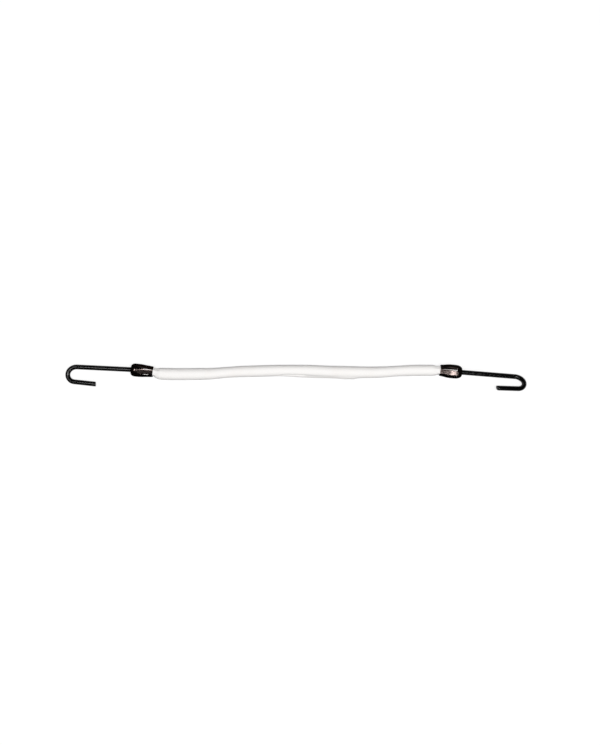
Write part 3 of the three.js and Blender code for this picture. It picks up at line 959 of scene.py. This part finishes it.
class Finish(Graph):
    """A material with a Principled shader. What is the same all over it is set at the start."""

    def __init__(self, name, **constants):
        self.material = bpy.data.materials.new(name)
        super().__init__(self.material)
        self.shader = self.tree.nodes["Principled BSDF"]
        self.drive(**constants)

    def drive(self, **values):
        """Sets or links sockets of the shader, whose names have _ in the place of each space."""
        for name, value in values.items():
            self.set(self.shader.inputs[name.replace("_", " ")], value)

    def mix(self, factor, first, second):
        """A colour between two, through a Mix node, which takes colours in its sockets 6 and 7 and
        gives one at its output 2."""
        return self.node("ShaderNodeMix", {"data_type": "RGBA"}, {0: factor, 6: first, 7: second}, 2)

    def place(self):
        """The place on the object, in metres."""
        return self.node("ShaderNodeTexCoord", output="Object")

    def noise(self, size, detail=2, length=None):
        """Noise from 0 to 1 whose blots are about that size, in metres, and that long on X."""
        place = self.place()
        if length:
            scale = (size / length, 1, 1)
            place = self.node("ShaderNodeMapping", None, {"Vector": place, "Scale": scale})
        return self.node(
            "ShaderNodeTexNoise", None, {"Vector": place, "Scale": 1 / size, "Detail": detail}
        )

    def bump(self, height, depth, below=None):
        """A normal from a height of 0 to 1 that stands for that depth, in metres, on top of the
        normal from another bump, if one is given."""
        values = {"Height": height, "Distance": depth}
        if below:
            values["Normal"] = below
        return self.node("ShaderNodeBump", None, values)


def give(finish, *pieces):
    """Puts a finish on pieces as their only material."""
    for piece in pieces:
        piece.data.materials.clear()
        piece.data.materials.append(finish.material)
    print(finish.material.name, "has", len(finish.tree.nodes), "nodes")


# %% [markdown]
# ## White braid
# The sheath is spun polyester: matt, very slightly warm and a little soiled in patches. Painted
# shade makes it darker and warmer in the valleys where the strands dive and between its yarns. A
# plain noise would be quicker, but it wouldn't follow the strands. So the weave's own formula,
# worked out in nodes on the piece's map, tells which strand is on top. Each strand shows five
# yarns, laid along it, and a soft fuzz over them.

# %% Finish of the sheath
YARNS = 5
YARN_RISE_SHARE = 0.7
# How strongly painted shade darkens the gaps between yarns and the valleys between strands.
YARN_SHADE_SHARE = 0.12
VALLEY_SHADE_SHARE = 0.55
VALLEY_BOTTOM_SHARE = 0.25
VALLEY_TOP_SHARE = 0.95
FUZZ_SIZE = 0.00035
FUZZ_RISE_SHARE = 0.5
BRAID_RELIEF = 0.00004
BRAID_ROUGHNESS = 0.74
FUZZ_ROUGHNESS = 0.18
SOIL_SIZE = 0.018
SOIL_LEVELS = (0.5, 0.75)
SOIL_SHARE = 0.6
BRAID_WHITE = (0.95, 0.935, 0.92, 1)
# Painted shade: the darker, warmer colour that the valleys and the gaps between yarns are mixed towards.
BRAID_PAINTED_SHADE = (0.8, 0.75, 0.71, 1)
BRAID_SOIL = (0.93, 0.9, 0.875, 1)


def shown_strand(braid):
    """The height of the strand that is on top, and the place across it from -0.5 to 0.5. Both
    ways' heights are worked out, and the higher one is shown."""
    weave = braid.node("ShaderNodeUVMap", {"uv_map": "weave"})
    around = braid.node("ShaderNodeSeparateXYZ", None, {"Vector": weave}, "X")
    pitches = braid.node("ShaderNodeSeparateXYZ", None, {"Vector": weave}, "Y")
    one, other = around - pitches, around + pitches
    first, second = round(one), round(other)

    def height(across, phase):
        """The formula of strand_height, on sockets."""
        crown = (1 - CROWN_SPREAD * (2 * across) ** 2) ** 0.5
        return STRAND_CROWN * crown + STRAND_WAVE * (phase * (np.pi / 2)).cosine()

    one_height = height(abs(one - first), first + other + ONE_WAY_PHASE)
    other_height = height(abs(other - second), second + one + OTHER_WAY_PHASE)
    is_one = one_height > other_height
    across = (other - second) + is_one * ((one - first) - (other - second))
    return one_height.maximum(other_height), across


def braid_finish():
    """White with painted shade, darker and warmer, in the valleys and the gaps between yarns, and a bump
    from the yarns and the fuzz.
    """
    braid = Finish("white_braid", Specular_IOR_Level=0.15, Sheen_Weight=0.05)
    height, across = shown_strand(braid)
    yarns = abs((across * (YARNS * np.pi)).cosine())
    # Painted shade: the low places of the weave, where shade falls, are marked for the shade colour.
    painted_valley_shade = 1 - height.between(VALLEY_BOTTOM_SHARE * STRAND_CROWN, VALLEY_TOP_SHARE * STRAND_CROWN)
    fuzz = braid.noise(FUZZ_SIZE, detail=4)
    soil = braid.noise(SOIL_SIZE, detail=3).between(*SOIL_LEVELS)
    colour = braid.mix(soil * SOIL_SHARE, BRAID_WHITE, BRAID_SOIL)
    # Painted shade, summed from the valleys and the gaps between yarns.
    shade = painted_valley_shade * VALLEY_SHADE_SHARE + (1 - yarns) * YARN_SHADE_SHARE
    braid.drive(
        Base_Color=braid.mix(shade, colour, BRAID_PAINTED_SHADE),
        Roughness=BRAID_ROUGHNESS + fuzz * FUZZ_ROUGHNESS,
        Normal=braid.bump(yarns * YARN_RISE_SHARE + fuzz * FUZZ_RISE_SHARE, BRAID_RELIEF),
    )
    return braid


give(braid_finish(), sheath)

# %% [markdown]
# ## Rubber
# Natural rubber thread is tan and dusted with talc, so that the threads slide on each other. The
# dust lies by chance, so one noise is all that it takes.

# %% Finish of the core
DUST_SIZE = 0.0009
DUST_LEVELS = (0.4, 0.7)
DUST_DEPTH = 0.00003
RUBBER_ROUGHNESS = 0.6
DUST_ROUGHNESS = 0.25
RUBBER_TAN = (0.56, 0.42, 0.24, 1)
RUBBER_TALC = (0.74, 0.66, 0.52, 1)


def rubber_finish():
    """Tan, with clouds of talc that are paler, rougher and raised a little."""
    rubber = Finish("talced_rubber", Specular_IOR_Level=0.3)
    dust = rubber.noise(DUST_SIZE, detail=4).between(*DUST_LEVELS)
    rubber.drive(
        Base_Color=rubber.mix(dust, RUBBER_TAN, RUBBER_TALC),
        Roughness=RUBBER_ROUGHNESS + dust * DUST_ROUGHNESS,
        Normal=rubber.bump(dust, DUST_DEPTH),
    )
    return rubber


give(rubber_finish(), core)

# %% [markdown]
# ## Black caps
# The caps are steel under a thin black lacquer, and mirror like a dark metal. A clear coat over a
# black base could do for it, but that is pale at the flanks, where these caps are darkest. So the
# finish is a metal with a black edge tint. Where a cap stands highest it rubs on things, and the
# lacquer there is worn in clouds to a warm brown. Light drawing marks from the press run along it.

# %% Finish of the caps
LACQUER_BLACK = (0.0104, 0.0082, 0.0076, 1)
LACQUER_WORN = (0.094, 0.074, 0.069, 1)
LACQUER_EDGE = (0, 0, 0, 1)
WORN_HEIGHTS = (0.009, 0.0097)
WORN_SIZE = 0.003
WORN_LEVELS = (0.3, 0.55)
SPECK_SIZE = 0.0006
SPECK_RISE_SHARE = 0.6
MARK_SIZE = 0.0003
MARK_LENGTH = 0.00375
MARK_RISE_SHARE = 0.6
LACQUER_RELIEF = 0.00001
LACQUER_ROUGHNESS = 0.1
SPECK_ROUGHNESS = 0.08
MARK_ROUGHNESS = 0.05


def cap_finish():
    """Black, worn where the height and a noise agree, with specks and with marks that are a noise
    drawn out along the cord."""
    lacquer = Finish("black_lacquer", Metallic=1, Specular_Tint=LACQUER_EDGE)
    height = lacquer.node("ShaderNodeSeparateXYZ", None, {"Vector": lacquer.place()}, "Z")
    clouds = lacquer.noise(WORN_SIZE, detail=3).between(*WORN_LEVELS)
    worn = height.between(*WORN_HEIGHTS) * clouds
    speck = lacquer.noise(SPECK_SIZE, detail=3)
    marks = lacquer.noise(MARK_SIZE, length=MARK_LENGTH)
    lacquer.drive(
        Base_Color=lacquer.mix(worn, LACQUER_BLACK, LACQUER_WORN),
        Roughness=LACQUER_ROUGHNESS + speck * SPECK_ROUGHNESS + marks * MARK_ROUGHNESS,
        Normal=lacquer.bump(marks * MARK_RISE_SHARE + speck * SPECK_RISE_SHARE, LACQUER_RELIEF),
    )
    return lacquer


give(cap_finish(), *caps.values())

# %% [markdown]
# ## Black vinyl
# The hooks are dipped, so the skin is smooth and glossy with the slow waves of a liquid that
# set, and it is scuffed in places. The waves and the pores could be in the mesh, but they are so
# shallow that only the gloss shows them, so they stay in the normal.

# %% Finish of the vinyl
VINYL_BLACK = (0.0012, 0.0012, 0.0013, 1)
VINYL_SCUFFED = (0.009, 0.0082, 0.008, 1)
WAVE_SIZE = 0.0022
WAVE_DEPTH = 0.00003
SCUFF_SIZE = 0.0016
SCUFF_LEVELS = (0.56, 0.74)
PORE_SIZE = 0.0002
PORE_DEPTH = 0.000003
VINYL_ROUGHNESS = 0.1
SCUFF_ROUGHNESS = 0.08
PORE_ROUGHNESS = 0.03


def vinyl_finish():
    """Black, a little paler and rougher where it is scuffed, with pores on slow waves."""
    vinyl = Finish("black_vinyl_skin", Specular_IOR_Level=0.21)
    wave = vinyl.noise(WAVE_SIZE, detail=1)
    scuff = vinyl.noise(SCUFF_SIZE, detail=5).between(*SCUFF_LEVELS)
    pores = vinyl.noise(PORE_SIZE)
    vinyl.drive(
        Base_Color=vinyl.mix(scuff, VINYL_BLACK, VINYL_SCUFFED),
        Roughness=VINYL_ROUGHNESS + scuff * SCUFF_ROUGHNESS + pores * PORE_ROUGHNESS,
        Normal=vinyl.bump(pores, PORE_DEPTH, vinyl.bump(wave, WAVE_DEPTH)),
    )
    return vinyl


give(vinyl_finish(), *vinyls.values())

# %% [markdown]
# ## Drawn steel
# The wire was pulled through a die, which leaves fine lines along it. Only its headed end, behind
# the cap's face, is bare. Lines could be cut into the mesh, but they are finer than its faces, so
# a noise that is drawn out along X stands for them.

# %% Finish of the wires
STEEL_BRIGHT = (0.62, 0.61, 0.6, 1)
STEEL_DULL = (0.36, 0.35, 0.34, 1)
LINE_SIZE = 0.00012
LINE_LENGTH = 0.004
LINE_LEVELS = (0.35, 0.7)
LINE_DEPTH = 0.000008
STEEL_ROUGHNESS = 0.28
LINE_ROUGHNESS = 0.2


def steel_finish():
    """Bright metal with dull, rougher lines."""
    steel = Finish("drawn_steel", Metallic=1)
    lines = steel.noise(LINE_SIZE, detail=3, length=LINE_LENGTH)
    steel.drive(
        Base_Color=steel.mix(lines.between(*LINE_LEVELS), STEEL_BRIGHT, STEEL_DULL),
        Roughness=STEEL_ROUGHNESS + lines * LINE_ROUGHNESS,
        Normal=steel.bump(lines, LINE_DEPTH),
    )
    return steel


give(steel_finish(), *wires.values())

# %% [markdown]
# ## Table and light
# The table is pale and takes the cord's shadow. The photograph is exposed until the table is
# white. More lamp light would do that too, but it would burn out the braid. So the table adds
# light of its own where the camera or a reflection sees it, and none that lights the cord. Two
# soft boxes hang in line almost over the cord, so that both its edges are dark, and the vinyl has
# one narrow streak along its top. The gap between them keeps the flat top of the left cap black.
# A slim third one on the near side lights the flat claws that lean that way. A sky that lights
# mostly from above fills the shadows. It is white behind the object, and mirrored it is white
# near the horizon only, so that the black parts stay black.

# %% Table
TABLE_HALF = 15.0
TABLE_WHITE = (0.34, 0.34, 0.34, 1)
TABLE_GLOW = 0.7
WHITE = (1, 1, 1, 1)


def make_table():
    """A level square of floor, so wide that its edge is lost on the horizon."""
    corners = np.array([(-1, -1, 0), (1, -1, 0), (1, 1, 0), (-1, 1, 0)]) * TABLE_HALF
    return new_piece("table", corners, [np.array([[0, 1, 2, 3]])])


table = make_table()
paper = Finish(
    "white_paper", Roughness=0.9, Specular_IOR_Level=0, Base_Color=TABLE_WHITE, Emission_Color=WHITE
)
paper.drive(Emission_Strength=paper.rays("Camera", "Glossy", "Transmission") * TABLE_GLOW)
give(paper, table)
table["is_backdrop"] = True

# %% Soft boxes
LAMP_DISTANCE = 1.5


def make_lamp(name, length, width, power, tilt_degrees, along):
    """A soft box whose long side runs along X. It leans from straight above towards the near side
    and looks down at the cord, moved along X."""
    data = bpy.data.lights.new(name, "AREA")
    data.shape, data.size, data.size_y, data.energy = "RECTANGLE", length, width, power
    lamp = bpy.data.objects.new(name, data)
    tilt = np.radians(tilt_degrees)
    lamp.location = (along, -LAMP_DISTANCE * np.sin(tilt), LAMP_DISTANCE * np.cos(tilt))
    lamp.rotation_euler = (tilt, 0, 0)
    bpy.context.scene.collection.objects.link(lamp)
    print(name, "gives", power, "W")


make_lamp("overhead_box", length=0.6, width=0.24, power=13.3, tilt_degrees=2, along=0.175)
make_lamp("left_box", length=0.2, width=0.24, power=3.8, tilt_degrees=2, along=-0.47)
make_lamp("near_box", length=0.5, width=0.05, power=3.3, tilt_degrees=31.5, along=0.19)

# %% Sky
SKY_LEVEL = 0.66
SKY_POWER = 4
MIRRORED_LEVEL = 0.02
HORIZON_HEIGHTS = (0, 0.05)


def make_sky():
    """A sky that is white for the camera. It lights the object with the fourth power of the height
    over the horizon, so most of its light comes from above. For reflections and glass it is white
    at the horizon and nearly black overhead."""
    world = bpy.data.worlds.new("studio")
    bpy.context.scene.world = world
    sky = Graph(world)
    direction = sky.node("ShaderNodeTexCoord")
    height = sky.node("ShaderNodeSeparateXYZ", None, {"Vector": direction}, "Z")
    mirrored = 1 - height.between(*HORIZON_HEIGHTS) * (1 - MIRRORED_LEVEL)
    lighting = height.maximum(0) ** SKY_POWER * SKY_LEVEL
    seen = lighting + sky.rays("Glossy", "Transmission") * (mirrored - lighting)
    camera_ray = sky.rays("Camera")
    background = sky.tree.nodes["Background"]
    background.inputs["Color"].default_value = WHITE
    sky.set(background.inputs["Strength"], camera_ray + (1 - camera_ray) * seen)
    print("the sky has", len(sky.tree.nodes), "nodes")


make_sky()
bpy.context.scene.view_settings.view_transform = "Standard"

# %% [markdown]
# ## The size of the result
# The dressed object keeps the size of the solids, to about a tenth of a millimetre. Both boxes
# could be read off in the viewport, but written side by side they can be compared after each run.

# %% Write the two boxes
visual_box = [list(corner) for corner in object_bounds()]
{"cad": cad_box, "visual": visual_box}
print("visual box in mm:", np.round(np.array(visual_box) * 1000, 2).tolist())
